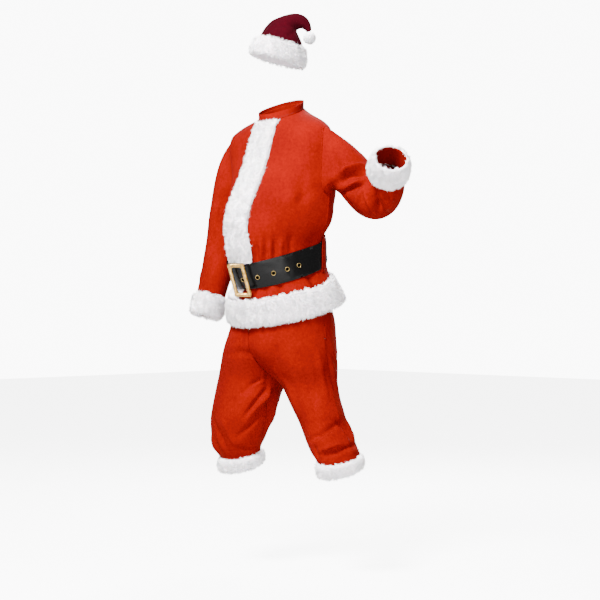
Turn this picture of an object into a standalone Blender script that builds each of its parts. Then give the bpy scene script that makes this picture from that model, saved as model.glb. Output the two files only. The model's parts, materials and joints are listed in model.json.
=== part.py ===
"""Santa suit: belted jacket, baggy trousers and bobble hat, hollow as when worn.

+Z is up, the wearer faces -Y and the wearer's left is +X. The origin is the
middle of the neck, where the shoulders carry the suit. Tables are in
millimetres, with "forward" measured from the neck towards the wearer's front.
"""
import math
from collections import namedtuple

import bmesh
import bpy
from mathutils import Matrix, Vector

MM = 0.001
WALL = 2 * MM              # fleece cloth
SEAM = 0.5 * MM            # gap between two pieces at their seam
LAID = 0.8 * MM            # gap under a piece that lies on the cloth
TRIM_SEAM = 0.6 * MM       # gap between the cloth's edge and the fur band sewn to it
FUR = 12 * MM              # pile height of the plush trim
QUARTER = math.pi / 2
LEFT, RIGHT = 1, -1

RED, CRIMSON, WHITE = (0.58, 0.013, 0.002), (0.2, 0.001, 0.007), (0.86, 0.83, 0.84)
BLACK, GOLD, BRONZE = (0.012, 0.012, 0.013), (0.62, 0.40, 0.13), (0.36, 0.26, 0.12)

# A section of the jacket: turn 0 is the centre front, a quarter turn is the wearer's left side.
# The front hangs lower than the middle by the tilt, the sides stand higher by the lift.
Ring = namedtuple("Ring", "height width front back forward tilt lift")
JACKET = [
    Ring(25, 78, 75, 75, 8, 30, 0),
    Ring(-55, 190, 108, 100, -2, 20, 27),
    Ring(-150, 187, 138, 125, -5, 0, 0),
    Ring(-250, 184, 200, 133, -14, 0, 0),
    Ring(-300, 180, 228, 124, -14, 8, 0),
    Ring(-352, 171, 236, 114, -12, 26, 0),
    Ring(-421, 150, 212, 110, -9, 58, 9),
    Ring(-502, 152, 174, 126, -8, 58, 0),
    Ring(-547, 172, 200, 122, -13, 50, 0),
    Ring(-632, 193, 190, 188, -20, 52, 0),
]
CHEST = 2
BELT_TOP, BELT_BOTTOM, TRIM_TOP, HEM = 6, 7, 8, 9
ARMHOLE_FRONT, ARMHOLE_BACK = math.radians(17), math.radians(15)
ARMHOLE_STEPS = 9

# The front strip of fur: its middle, to the wearer's left of the centre line, at each ring.
STRIP_HALF = 52
STRIP_MIDDLE = [0, 0, 0, 0, 0, 0, -2, -66, -72, -74]
UNDERLAP = 48              # the right front goes on this far beneath the strip
STRIP_UNDER_BELT = 3.8 * MM
STRIP_TOP = 0.12           # the place where it begins, just below the neckband
STRIP_LAID = 1.4 * MM
LOWER_PLACES = [3.4, 3.8, 4.2, 4.6, 5, 5.35, 5.7, 5.95, 6.3, 6.65, 7.03, 7.3, 7.65, 7.98]

# A sleeve's sections: how far along it they lie, and how much more it hangs down below.
Section = namedtuple("Section", "along radius sag")
RIGHT_ARM = [(256, 24, -325), (260, 43, -440), (268, 73, -550), (276, 102, -652)]
RIGHT_SLEEVE = [Section(0, 64, 0), Section(0.35, 60, 0), Section(0.7, 51, 0), Section(1, 46, 0)]
LEFT_SHOULDER, LEFT_ELBOW, LEFT_WRIST = (175, 0, -62), (361, -98, -283), (489, 5, -150)
LEFT_BEND_RADIUS = 75
LEFT_SLEEVE_START = 150
LEFT_SLEEVE = [Section(0, 63, 34), Section(0.16, 62, 32), Section(0.38, 70, 30),
               Section(0.61, 60, 8), Section(0.75, 56, 0), Section(1, 54, 0)]
LEFT_ROLL = math.radians(46)
CAP_STEPS = 6
CUFF_ROWS_LEFT, CUFF_ROWS_RIGHT = 3.6, 2.9
# Each arm draws the cloth round its armhole its own way: the raised left one outwards and back,
# the hanging right one outwards and forward.
Pull = namedtuple("Pull", "left forward height to_left to_forward to_height reach")
ARM_PULLS = [Pull(186, 0, -165, 26, -16, 0, 95), Pull(180, -30, -335, 12, -8, 0, 62),
             Pull(-182, 20, -105, -20, 24, 12, 85)]
SHOULDER_SLOPE = Vector((0.9, 0, -0.43)).normalized()

# A leg is a tube, cut by the centre plane wherever it crosses it: that cut is the rise seam.
Leg = namedtuple("Leg", "height middle forward width front back tilt")
HIPS = [
    Leg(-497, 0, -5, 133, 152, 98, 40),
    Leg(-560, 0, -8, 150, 158, 106, 26),
    Leg(-640, 6, -4, 177, 157, 148, 8),
]
RIGHT_LEG = HIPS + [
    Leg(-700, 18, 4, 176, 158, 158, 0),
    Leg(-760, 46, 20, 158, 163, 156, 0), Leg(-815, 80, 28, 139, 139, 134, 0),
    Leg(-870, 122, 36, 120, 110, 108, 0), Leg(-920, 138, 34, 122, 108, 106, 0),
    Leg(-960, 152, 33, 119, 110, 108, 0), Leg(-1000, 164, 34, 116, 108, 106, 0),
    Leg(-1035, 174, 35, 104, 100, 98, 0), Leg(-1068, 181, 34, 97, 93, 90, 4),
    Leg(-1096, 186, 32, 84, 82, 80, 12), Leg(-1124, 183, 23, 69, 69, 69, 18),
    Leg(-1164, 183, 22, 68, 68, 68, 19),
]
LEFT_LEG = HIPS + [
    Leg(-700, 18, -6, 166, 160, 158, 0),
    Leg(-760, 42, -10, 147, 148, 148, 0), Leg(-815, 70, -24, 124, 120, 120, 0),
    Leg(-870, 98, -36, 96, 90, 90, 0), Leg(-920, 110, -36, 92, 89, 88, 0),
    Leg(-960, 130, -38, 88, 85, 84, 0), Leg(-1004, 148, -42, 82, 80, 80, 0),
    Leg(-1050, 168, -50, 85, 83, 83, 0), Leg(-1088, 184, -55, 84, 83, 83, 0),
    Leg(-1103, 192, -57, 77, 77, 77, 14), Leg(-1120, 203, -60, 70, 70, 70, 20),
    Leg(-1159, 205, -61, 69, 69, 69, 22),
]
LEG_ROWS = {LEFT: LEFT_LEG, RIGHT: RIGHT_LEG}
LEG_TOP, LEG_CLOTH_TO, LEG_FUR_FROM, LEG_FUR_TO = 0.06, 12.91, 12.95, 14
# The four panels meet at the crotch, where the legs part.
CROTCH = 5.98
ROWS_ABOVE_CROTCH, ROWS_BELOW_CROTCH = 10, 12

# The hat's sections: middle sideways towards the wearer's back left, height, and radius.
Hat = namedtuple("Hat", "lean height radius")
HAT = [Hat(-10, 204, 86), Hat(3, 257, 76), Hat(10, 285, 66), Hat(20, 309, 52), Hat(35, 327, 38),
       Hat(55, 335, 28), Hat(76, 332, 23), Hat(91, 318, 15), Hat(97, 303, 9)]
HAT_FORWARD = 14
HAT_FUR_TO, HAT_SEAM = 1.15, 0.03
HAT_WIDTH, HAT_DEPTH = 78, 96
POMPOM_MIDDLE, POMPOM_RADIUS, POMPOM_LOCK = (99, 280), 15, 7

BUCKLE_WIDTH, BUCKLE_HEIGHT, BUCKLE_BAR, BUCKLE_THICK = 78, 114, 13, 7
# A fold runs from one point to another; a ridge rises by its depth and a trough is a negative depth.
Fold = namedtuple("Fold", "left forward height to_left to_forward to_height half depth")
JACKET_FOLDS = [
    Fold(60, 205, -350, 68, 190, -470, 15, -4), Fold(92, 180, -370, 92, 160, -470, 15, -5),
    Fold(118, 150, -350, 112, 140, -460, 16, -5), Fold(139, 104, -350, 134, 90, -440, 16, -4),
    Fold(165, 20, -330, 150, 10, -430, 18, -5), Fold(140, -80, -320, 125, -70, -400, 20, -6),
    Fold(70, -115, -310, 60, -105, -380, 20, -5), Fold(0, -125, -300, 0, -115, -370, 22, -6),
    Fold(-70, -115, -310, -60, -105, -380, 20, -5), Fold(-140, -80, -320, -125, -70, -400, 20, -6),
    Fold(-165, 20, -330, -150, 10, -430, 18, -5), Fold(-120, 150, -350, -112, 140, -460, 16, -4),
    Fold(110, 125, -600, 108, 119, -530, 12, -5), Fold(165, 20, -580, 148, 30, -510, 14, -4),
    Fold(205, -5, -235, 150, 100, -215, 16, -5), Fold(180, -40, -265, 120, -115, -300, 20, -5),
    Fold(-178, 30, -255, -140, 110, -300, 20, -5), Fold(-178, -45, -262, -120, -115, -300, 20, -5),
]
LEFT_SLEEVE_FOLDS = [
    Fold(405, 45, -185, 296, 8, -232, 17, -13), Fold(410, 40, -160, 300, 22, -178, 16, 5),
    Fold(398, 22, -228, 288, -2, -268, 13, 7), Fold(412, 12, -235, 393, -52, -322, 15, -13),
    Fold(385, 20, -245, 350, -40, -325, 16, 6), Fold(300, -5, -290, 222, -5, -262, 17, -8),
    Fold(330, -150, -215, 372, -105, -170, 18, -7), Fold(300, -130, -180, 345, -75, -150, 16, -6),
    Fold(215, -90, -150, 300, -130, -230, 18, -6),
]
RIGHT_SLEEVE_FOLDS = [
    Fold(225, 78, -190, 262, 112, -440, 16, 5), Fold(212, 60, -230, 236, 98, -470, 15, -6),
    Fold(275, 60, -150, 305, 70, -400, 18, -4), Fold(262, 125, -500, 225, 105, -545, 14, -5),
    Fold(300, -20, -250, 300, 20, -480, 18, -5), Fold(240, -45, -240, 255, -15, -430, 18, 4),
]
RIGHT_LEG_FOLDS = [
    Fold(130, 150, -772, 12, 150, -788, 15, -8), Fold(30, 140, -795, 22, 100, -842, 22, -14),
    Fold(10, 88, -848, 95, 135, -890, 14, 6), Fold(25, 85, -885, 140, 138, -965, 17, -8),
    Fold(22, 72, -905, 150, 135, -1012, 15, 7), Fold(42, 60, -955, 165, 122, -1062, 17, -8),
    Fold(40, 50, -990, 150, 105, -1092, 15, 6), Fold(24, 38, -930, 62, 22, -1050, 13, -7),
    Fold(200, -70, -800, 120, -80, -860, 22, -7), Fold(60, -75, -870, 150, -75, -960, 20, -7),
    Fold(255, -20, -950, 262, 0, -1060, 18, -6), Fold(110, -60, -1000, 180, -65, -1060, 20, -7),
]
LEFT_LEG_FOLDS = [
    Fold(30, 140, -795, 22, 100, -842, 20, -10), Fold(55, 85, -850, 80, 48, -1000, 18, -5),
    Fold(120, 75, -800, 165, 40, -1000, 20, 4), Fold(205, 5, -1000, 232, -20, -1048, 18, -8),
    Fold(160, 32, -1040, 238, 5, -1062, 16, 7), Fold(150, 20, -1092, 240, -8, -1092, 14, -7),
    Fold(222, -78, -990, 240, -92, -1070, 16, -8), Fold(70, -110, -860, 150, -120, -950, 20, -7),
    Fold(185, -100, -830, 120, -110, -900, 20, -6), Fold(110, -85, -1000, 190, -135, -1050, 20, -8),
]

BUCKLE_MIDDLE = (10, 204.6, -530)
BUCKLE_LEAN, BUCKLE_SWING = math.radians(19), math.radians(-2)
BELT_LOOP_TURN, BELT_LOOP_HALF = 104, 13
GATHER = 3 * MM
NECKBAND_HEIGHT, WAISTBAND_HEIGHT = 24 * MM, 34 * MM
CUFF_GAP_ROWS = 0.02
EYELETS = [4, 22.5, 40, 54.5, 67]
EYELET_RADIUS, EYELET_WIRE = 6.6, 1.5
EYELET_LAID = 0.4 * MM
BELT_THICK = 3
BELT_BULGE = 4
BELT_OVER_FUR, BELT_OVER_BELT = 4.2, 0.6
# It starts beneath its own tail and runs a bit more than once round the waist.
BELT_START, BELT_END = math.radians(-24), math.radians(-360 - 62)


def spot(left, forward, height):
    """A point from its distances in millimetres."""
    return Vector((left, -forward, height)) * MM


def along(rows, place):
    """The row at a place between the rows of a table, on a smooth curve through them."""
    last = len(rows) - 1
    first = min(max(int(math.floor(place)), 0), last - 1)
    t = place - first
    pick = [rows[min(max(first + step, 0), last)] for step in (-1, 0, 1, 2)]
    if not isinstance(rows[0], tuple):
        pick = [(row,) for row in pick]
    values = []
    for p0, p1, p2, p3 in zip(*pick):
        m1, m2 = (p2 - p0) / 2, (p3 - p1) / 2
        values.append((2 * t**3 - 3 * t**2 + 1) * p1 + (t**3 - 2 * t**2 + t) * m1
                      + (3 * t**2 - 2 * t**3) * p2 + (t**3 - t**2) * m2)
    return type(rows[0])(*values) if hasattr(rows[0], "_fields") else values


def ease(value):
    """0 below 0, 1 above 1, and a smooth step between."""
    value = min(max(value, 0), 1)
    return value * value * (3 - 2 * value)


def folded(point, middle, folds):
    """The point moved away from a middle line by the ridges near it, and towards it by the troughs."""
    rise = 0
    for fold in folds:
        start, end = spot(*fold[:3]), spot(*fold[3:6])
        run = end - start
        share = (point - start).dot(run) / run.length_squared
        near = start + run * min(max(share, 0), 1)
        fade = ease((share + 0.35) / 0.5) * ease((1.35 - share) / 0.5)
        rise += fold.depth * fade * math.exp(-((point - near).length / (fold.half * MM)) ** 2)
    return point + (point - middle).normalized() * rise * MM


def lifted(surface, turn, place, out):
    """The point of a surface moved outwards along its normal."""
    step = 0.004
    across = surface(turn + step, place) - surface(turn - step, place)
    down = surface(turn, place + step) - surface(turn, place - step)
    return surface(turn, place) + across.cross(down).normalized() * -out


# The jacket's own surface

def smooth_jacket(turn, place):
    ring = along(JACKET, place)
    depth = ring.front if math.cos(turn) > 0 else ring.back
    point = spot(ring.width * math.sin(turn), ring.forward + depth * math.cos(turn),
                 ring.height - ring.tilt * math.cos(turn) + ring.lift * math.sin(turn) ** 2)
    moved = point.copy()
    for pull in ARM_PULLS:
        reach = (point - spot(*pull[:3])).length / (pull.reach * MM)
        moved += spot(*pull[3:6]) * math.exp(-reach ** 2)
    return moved


def jacket(turn, place):
    point = smooth_jacket(turn, place)
    return folded(point, Vector((0, 0, point.z)), JACKET_FOLDS)


def jacket_turn(left, place):
    """The turn at which the front is this far to the wearer's left of the centre line."""
    return math.asin(left / along(JACKET, place).width)


def strip_middle(place):
    return along(STRIP_MIDDLE, place)[0]


def armhole(step):
    """Turn and place on the armhole's edge: 0 at the shoulder, 1 at the underarm, 2 at the shoulder."""
    angle = math.pi * step
    cut = ARMHOLE_FRONT if step < 1 else ARMHOLE_BACK
    return QUARTER - cut * math.sin(angle), CHEST - math.cos(angle)


def panel_rows():
    """Place and the turns of the front's and the back's side edge, from neck to fur band."""
    rows = [(place, QUARTER, QUARTER) for place in (0, STRIP_TOP, 0.42, 0.72)]
    for count in range(ARMHOLE_STEPS + 1):
        step = count / ARMHOLE_STEPS
        turn, place = armhole(step)
        rows.append((place, turn, armhole(2 - step)[0]))
    rows += [(place, QUARTER, QUARTER) for place in LOWER_PLACES]
    return rows


def half_seam(place):
    """The turn that leaves half of a seam's gap at the jacket's side."""
    return SEAM / 2 / (along(JACKET, place).width * MM)


# Sleeves

def rounded_bend(start, corner, end, radius, steps):
    """Points from start to end round a corner, and how far along it each lies."""
    into, out = (corner - start).normalized(), (end - corner).normalized()
    bend = into.angle(out)
    cut = radius * math.tan(bend / 2)
    inside = (out - into).normalized()
    centre = corner + inside * (radius / math.cos(bend / 2))
    side = into.cross((centre - (corner - into * cut)).normalized())
    points = []
    arc_start = corner - into * cut
    for count in range(3):
        points.append(start.lerp(arc_start, count / 3))
    spoke = arc_start - centre
    for count in range(steps + 1):
        angle = bend * count / steps
        points.append(centre + spoke * math.cos(angle) + into * radius * math.sin(angle))
    for count in range(1, 6):
        points.append((corner + out * cut).lerp(end, count / 5))
    return points, side.normalized()


def arm_path(side):
    """The sleeve's middle line, as points, and the direction across its bend."""
    if side == RIGHT:
        guide = [tuple(point) for point in RIGHT_ARM]
        points = [spot(*along(guide, 3 * count / 12)) for count in range(13)]
        return points, Vector((0, -1, 0)), 0
    shoulder, elbow, wrist = (spot(*point) for point in (LEFT_SHOULDER, LEFT_ELBOW, LEFT_WRIST))
    start = shoulder + (elbow - shoulder).normalized() * LEFT_SLEEVE_START * MM
    points, across = rounded_bend(start, elbow, wrist, LEFT_BEND_RADIUS * MM, 8)
    return points, across, LEFT_ROLL


def along_table(table, where):
    """A row of a table whose first column is the place along it."""
    for before, after in zip(table, table[1:]):
        if where <= after.along:
            share = ease((where - before.along) / (after.along - before.along))
            return Section(*[a + (b - a) * share for a, b in zip(before, after)])
    return table[-1]


def sleeve_rings(side):
    """The sleeve's sections as lists of points, and the direction in which the sleeve runs."""
    points, across, roll = arm_path(side)
    table = LEFT_SLEEVE if side == LEFT else RIGHT_SLEEVE
    lengths = [0]
    for before, after in zip(points, points[1:]):
        lengths.append(lengths[-1] + (after - before).length)
    rings = []
    for index, point in enumerate(points):
        run = (points[min(index + 1, len(points) - 1)] - points[max(index - 1, 0)]).normalized()
        b = (across - run * across.dot(run)).normalized()
        a = b.cross(run)
        section = along_table(table, lengths[index] / lengths[-1])
        ring = []
        for count in range(2 * ARMHOLE_STEPS):
            turn = math.pi * count / ARMHOLE_STEPS - roll
            way = a * math.cos(turn) + b * math.sin(turn)
            ring.append(point + way * (section.radius + section.sag * max(0, -way.z)) * MM)
        rings.append((ring, run))
    return rings


def sleeve_grid(side):
    """All of the sleeve, from the armhole to the cuff, for the wearer's left side."""
    rings = sleeve_rings(side)
    first, run = rings[0]
    folds = LEFT_SLEEVE_FOLDS if side == LEFT else RIGHT_SLEEVE_FOLDS
    grid = []
    for row in range(CAP_STEPS):
        t = row / CAP_STEPS
        line = []
        for count, end in enumerate(first):
            turn, place = armhole(count / ARMHOLE_STEPS)
            start = jacket(turn if side == LEFT else -turn, place)
            start.x = abs(start.x)
            start += SHOULDER_SLOPE * SEAM
            reach = (end - start).length
            line.append(start * (2 * t**3 - 3 * t**2 + 1) + end * (3 * t**2 - 2 * t**3)
                        + SHOULDER_SLOPE * reach * (t**3 - 2 * t**2 + t) + run * reach * (t**3 - t**2))
        grid.append(line)
    grid += [ring for ring, _ in rings]
    for row in grid[1:]:
        middle = sum(row, Vector()) / len(row)
        row[:] = [folded(point, middle, folds) for point in row]
    return grid


def on_grid(grid, column, row):
    """A point of a closed grid between its rows and columns."""
    low = min(max(int(row), 0), len(grid) - 2)
    left = int(math.floor(column))
    size = len(grid[0])
    lines = [grid[low + step][left % size].lerp(grid[low + step][(left + 1) % size], column - left)
             for step in (0, 1)]
    return lines[0].lerp(lines[1], row - low)


# Trousers and hat

def leg(side, turn, place):
    """A point of a leg's tube; turn 0 is its front, a quarter turn its outer side."""
    ring = along(LEG_ROWS[side], place)
    depth = ring.front if math.cos(turn) > 0 else ring.back
    point = spot(ring.middle + ring.width * math.sin(turn), ring.forward + depth * math.cos(turn),
                 ring.height - ring.tilt * math.cos(turn))
    folds = LEFT_LEG_FOLDS if side == LEFT else RIGHT_LEG_FOLDS
    return folded(point, spot(ring.middle, ring.forward, point.z / MM), folds)


def leg_inner_turn(side, place):
    """How far round the leg goes inwards from its front before it meets the centre plane or itself."""
    ring = along(LEG_ROWS[side], place)
    gap = SEAM / MM / 2
    return math.asin(min((ring.middle - gap) / ring.width, 1)) - (gap / ring.width)


def hat(turn, place):
    """A point of the hat: turn 0 faces forward, and the rows run from its opening to its tip."""
    here, before, after = (along(HAT, min(max(place + step, 0), len(HAT) - 1)) for step in (0, -0.3, 0.3))
    lean = Vector((1, 1, 0)).normalized()
    run = (lean * (after.lean - before.lean) + Vector((0, 0, after.height - before.height))).normalized()
    b = Vector((1, -1, 0)).normalized()
    a = b.cross(run)
    roll = turn + math.pi / 4
    way = b * math.cos(roll) - a * math.sin(roll)
    flat = Vector((way.x, way.y, 0))
    oval = 1 / math.hypot(flat.x / HAT_WIDTH, flat.y / HAT_DEPTH)
    share = ease(1 - place / 3)
    radius = here.radius * ((1 - share) + share * oval / HAT[0].radius)
    middle = lean * here.lean + Vector((0, -HAT_FORWARD, here.height))
    return (middle + way * radius) * MM


# Making pieces

def finish(name, shape, colour, roughness, metallic=0.0, thickness=None):
    """An object of its own from a bmesh, with its material and, for cloth, its wall."""
    mesh = bpy.data.meshes.new(name)
    shape.to_mesh(mesh)
    shape.free()
    mesh.shade_smooth()
    piece = bpy.data.objects.new(name, mesh)
    SUIT.objects.link(piece)
    material = bpy.data.materials.new(name)
    material.use_nodes = True
    surface = material.node_tree.nodes["Principled BSDF"]
    surface.inputs["Base Color"].default_value = (*colour, 1)
    surface.inputs["Roughness"].default_value = roughness
    surface.inputs["Metallic"].default_value = metallic
    mesh.materials.append(material)
    if thickness:
        wall = piece.modifiers.new("Wall", "SOLIDIFY")
        wall.thickness = thickness
        wall.offset = -1
    return piece


def stretch(grid, around):
    """A bmesh of quads over a grid of points, joined round where it is a tube."""
    shape = bmesh.new()
    points = [[shape.verts.new(point) for point in row] for row in grid]
    for upper, lower in zip(points, points[1:]):
        count = len(upper)
        for index in range(count if around else count - 1):
            after = (index + 1) % count
            shape.faces.new((upper[index], lower[index], lower[after], upper[after]))
    return shape


def cloth(name, grid, around=False, inside_out=False, colour=RED):
    """A piece of cloth: the grid is its outer side."""
    shape = stretch(grid, around)
    if inside_out:
        bmesh.ops.reverse_faces(shape, faces=shape.faces)
    return finish(name, shape, colour, 0.9, thickness=WALL)


def panel(name, outer, inner):
    """A piece of cloth between two grids of points, its outer and its inner side."""
    last = len(outer) - 1
    across = range(len(outer[0]))
    rim = [(0, column) for column in across]
    rim += [(row, across[-1]) for row in range(1, last + 1)]
    rim += [(last, column) for column in reversed(across[:-1])]
    rim += [(row, 0) for row in range(last - 1, 0, -1)]
    shape = bmesh.new()
    sides = [[[shape.verts.new(point) for point in row] for row in grid] for grid in (outer, inner)]
    for side in sides:
        for upper, lower in zip(side, side[1:]):
            for index in across[:-1]:
                shape.faces.new((upper[index], lower[index], lower[index + 1], upper[index + 1]))
    for here, after in zip(rim, rim[1:] + rim[:1]):
        edge = [sides[0][here[0]][here[1]], sides[0][after[0]][after[1]]]
        shape.faces.new(edge + [sides[1][after[0]][after[1]], sides[1][here[0]][here[1]]])
    bmesh.ops.recalc_face_normals(shape, faces=shape.faces)
    return finish(name, shape, RED, 0.9)


def jacket_panel(name, spots):
    """A piece of the jacket from its grid of turns and places."""
    panel(name, [[jacket(turn, place) for turn, place in row] for row in spots],
          [[lifted(jacket, turn, place, -WALL) for turn, place in row] for row in spots])


def bar(name, loops, ring, colour=WHITE, roughness=0.95, metallic=0.0):
    """A solid bar through closed loops of points: a ring, or capped at its two ends."""
    shape = stretch(loops + loops[:1] if ring else loops, True)
    if ring:
        bmesh.ops.remove_doubles(shape, verts=shape.verts, dist=1e-6)
    else:
        bmesh.ops.holes_fill(shape, edges=[edge for edge in shape.edges if edge.is_boundary])
    bmesh.ops.recalc_face_normals(shape, faces=shape.faces)
    return finish(name, shape, colour, roughness, metallic)


def padded_loop(surface, across, thick, low=None):
    """One section of a strip of fur: level with the cloth's inner side or as low as given, and domed."""
    low = low or [-WALL] * len(across)
    base = [surface(share, out) for share, out in zip(across, low)]
    dome = [0.55, 0.98, 1.06, 0.98, 0.55]
    high = [surface(across[0] + (across[-1] - across[0]) * share, thick * rise)
            for share, rise in zip((1, 0.84, 0.5, 0.16, 0), dome)]
    return base + high


def mirrored(grid):
    return [[Vector((-point.x, point.y, point.z)) for point in row] for row in grid]


# The jacket's pieces

def make_fronts():
    columns = 9
    left, right = [], []
    for place, front_side, _ in panel_rows():
        edge = front_side - half_seam(place)
        for spots, start, end in (
                (left, jacket_turn(strip_middle(place) + STRIP_HALF + TRIM_SEAM / MM, place), edge),
                (right, jacket_turn(strip_middle(place) - STRIP_HALF + UNDERLAP, place), -edge)):
            spots.append([(start + (end - start) * count / columns, place) for count in range(columns + 1)])
    jacket_panel("jacket_front_left", left)
    jacket_panel("jacket_front_right", right)


def make_back():
    columns = 16
    spots = []
    for place, _, back_side in panel_rows():
        edge = back_side + half_seam(place)
        round_back = 2 * (math.pi - edge)
        spots.append([(edge + round_back * count / columns, place) for count in range(columns + 1)])
    jacket_panel("jacket_back", spots)


def make_neckband():
    grid = []
    for rise in (NECKBAND_HEIGHT, TRIM_SEAM):
        grid.append([jacket(2 * math.pi * count / 32, 0) + Vector((0, 0, rise)) for count in range(32)])
    cloth("neckband", grid, around=True)


def make_sleeve(side):
    grid = sleeve_grid(side)
    name = "sleeve_left" if side == LEFT else "sleeve_right"
    cuff = "cuff_fur_left" if side == LEFT else "cuff_fur_right"
    last = len(grid) - 1
    start = last - (CUFF_ROWS_LEFT if side == LEFT else CUFF_ROWS_RIGHT)
    loops = []
    size = len(grid[0])
    for column in range(size):
        def surface(share, out, column=column):
            row = start + CUFF_GAP_ROWS + (last - start - CUFF_GAP_ROWS) * share
            point = on_grid(grid, column, row)
            middle = sum((on_grid(grid, step, row) for step in range(size)), Vector()) / size
            return point + (point - middle).normalized() * out
        loops.append(padded_loop(surface, (0, 0.33, 0.67, 1), FUR))
    grid = grid[:int(start) + 1] + [[on_grid(grid, column, start) for column in range(size)]]
    if side == RIGHT:
        grid, loops = mirrored(grid), mirrored(loops)
    cloth(name, grid, around=True, inside_out=side == LEFT)
    bar(cuff, loops, ring=True)


def make_hem_fur():
    columns = 44
    start = jacket_turn(STRIP_MIDDLE[HEM] - STRIP_HALF, HEM) + 0.004
    loops = []
    for count in range(columns + 1):
        turn = start + (2 * math.pi - 0.008) * count / columns
        def surface(share, out, turn=turn):
            return lifted(jacket, turn, TRIM_TOP + (HEM - TRIM_TOP) * share, out)
        loops.append(padded_loop(surface, (0, 0.33, 0.67, 1), FUR))
    bar("hem_fur", loops, ring=False)


def make_front_fur():
    """The fur down the front: sewn to the left front's edge, and laid over the right front."""
    loops = []
    for place, _, _ in panel_rows()[1:]:
        near_belt = ease((place - BELT_TOP + 0.3) / 0.22) * ease((BELT_BOTTOM + 0.95 - place) / 0.6)
        thick = FUR + (STRIP_UNDER_BELT - FUR) * near_belt
        laid = STRIP_LAID * (1 + near_belt + ease((CHEST / 2 - place) / 0.7))
        def surface(share, out, place=place):
            left = strip_middle(place) + STRIP_HALF * (2 * share - 1)
            return lifted(jacket, jacket_turn(left, place), place, out)
        loops.append(padded_loop(surface, (0, 0.25, 0.5, 0.75, 1), thick,
                                 [laid, laid, laid, 0, -WALL]))
    bar("front_fur", loops, ring=False)


# Belt and buckle

def belt_out(turn):
    """How far the belt's inner side lies off the jacket: over the fur strip, and over its own start."""
    wrapped = (turn + math.pi) % (2 * math.pi) - math.pi
    over_fur = BELT_OVER_FUR * ease((wrapped + 1.2) / 0.25) * ease((0.65 - wrapped) / 0.25)
    tail = BELT_THICK + BELT_OVER_BELT
    return LAID + (over_fur + tail * ease((0.2 - 2 * math.pi - turn) / 0.25)) * MM


def belt_point(turn, share, out):
    """A point of the belt: share runs from its upper to its lower edge, and its middle bulges."""
    wrapped = (turn + math.pi) % (2 * math.pi) - math.pi
    place = BELT_TOP + (BELT_BOTTOM - BELT_TOP) * share
    return lifted(smooth_jacket, wrapped, place, out + 4 * share * (1 - share) * BELT_BULGE * MM)


def make_belt():
    columns = 54
    loops = []
    for count in range(columns + 1):
        turn = BELT_START + (BELT_END - BELT_START) * count / columns
        low = belt_out(turn)
        loops.append([belt_point(turn, share, low) for share in (0, 0.5, 1)]
                     + [belt_point(turn, share, low + BELT_THICK * MM) for share in (1, 0.5, 0)])
    bar("belt", loops, ring=False, colour=BLACK, roughness=0.35)


def make_buckle():
    """A frame of four bars, hanging before the belt with its foot against the fur below."""
    width, height = BUCKLE_WIDTH / 2 * MM, BUCKLE_HEIGHT / 2 * MM
    bar_width, thick = BUCKLE_BAR * MM, BUCKLE_THICK * MM
    shape = bmesh.new()
    corners = []
    for half_width, half_height, radius in ((width, height, 6 * MM),
                                            (width - bar_width, height - bar_width, 9 * MM)):
        ring = []
        for quarter in range(4):
            x = half_width - radius if quarter in (0, 3) else radius - half_width
            z = half_height - radius if quarter in (0, 1) else radius - half_height
            for step in range(4):
                angle = QUARTER * (quarter + step / 3)
                ring.append((x + radius * math.cos(angle), z + radius * math.sin(angle)))
        corners.append(ring)
    outer, inner = corners
    middle = [((a[0] + b[0]) / 2, (a[1] + b[1]) / 2) for a, b in zip(outer, inner)]
    rounds = [(outer, thick * 0.2), (outer, thick * 0.7), (middle, thick), (inner, thick * 0.7),
              (inner, thick * 0.2), (middle, 0)]
    loops = [[shape.verts.new((x, -out, z)) for x, z in ring] for ring, out in rounds]
    for here, after in zip(loops, loops[1:] + loops[:1]):
        for index in range(16):
            beyond = (index + 1) % 16
            shape.faces.new((here[index], here[beyond], after[beyond], after[index]))
    bmesh.ops.recalc_face_normals(shape, faces=shape.faces)
    lean = Matrix.Rotation(BUCKLE_LEAN, 4, "X")
    swing = Matrix.Rotation(BUCKLE_SWING, 4, "Z")
    shape.transform(Matrix.Translation(spot(*BUCKLE_MIDDLE)) @ swing @ lean)
    finish("buckle", shape, GOLD, 0.35, 1.0)


def make_eyelets():
    for number, degrees in enumerate(EYELETS, 1):
        turn = math.radians(degrees) - 2 * math.pi
        out = belt_out(turn) + BELT_THICK * MM + EYELET_LAID
        middle = belt_point(turn, 0.5, out)
        beside = belt_point(turn + 0.02, 0.5, out) - belt_point(turn - 0.02, 0.5, out)
        up = belt_point(turn, 0.4, out) - belt_point(turn, 0.6, out)
        facing = up.cross(beside).normalized()
        if facing.dot(middle) < 0:
            facing.negate()
        loops = []
        across = beside.normalized()
        upward = facing.cross(across)
        for step in range(10):
            angle = 2 * math.pi * step / 10
            way = across * math.cos(angle) + upward * math.sin(angle)
            loops.append([middle + (way * (EYELET_RADIUS + side * EYELET_WIRE) + facing * rise) * MM
                          for side, rise in ((-1, 0), (1, 0), (0.6, 1.1), (-0.6, 1.1))])
        bar(f"eyelet_{number}", loops, ring=True, colour=BRONZE, roughness=0.4, metallic=1.0)


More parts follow.
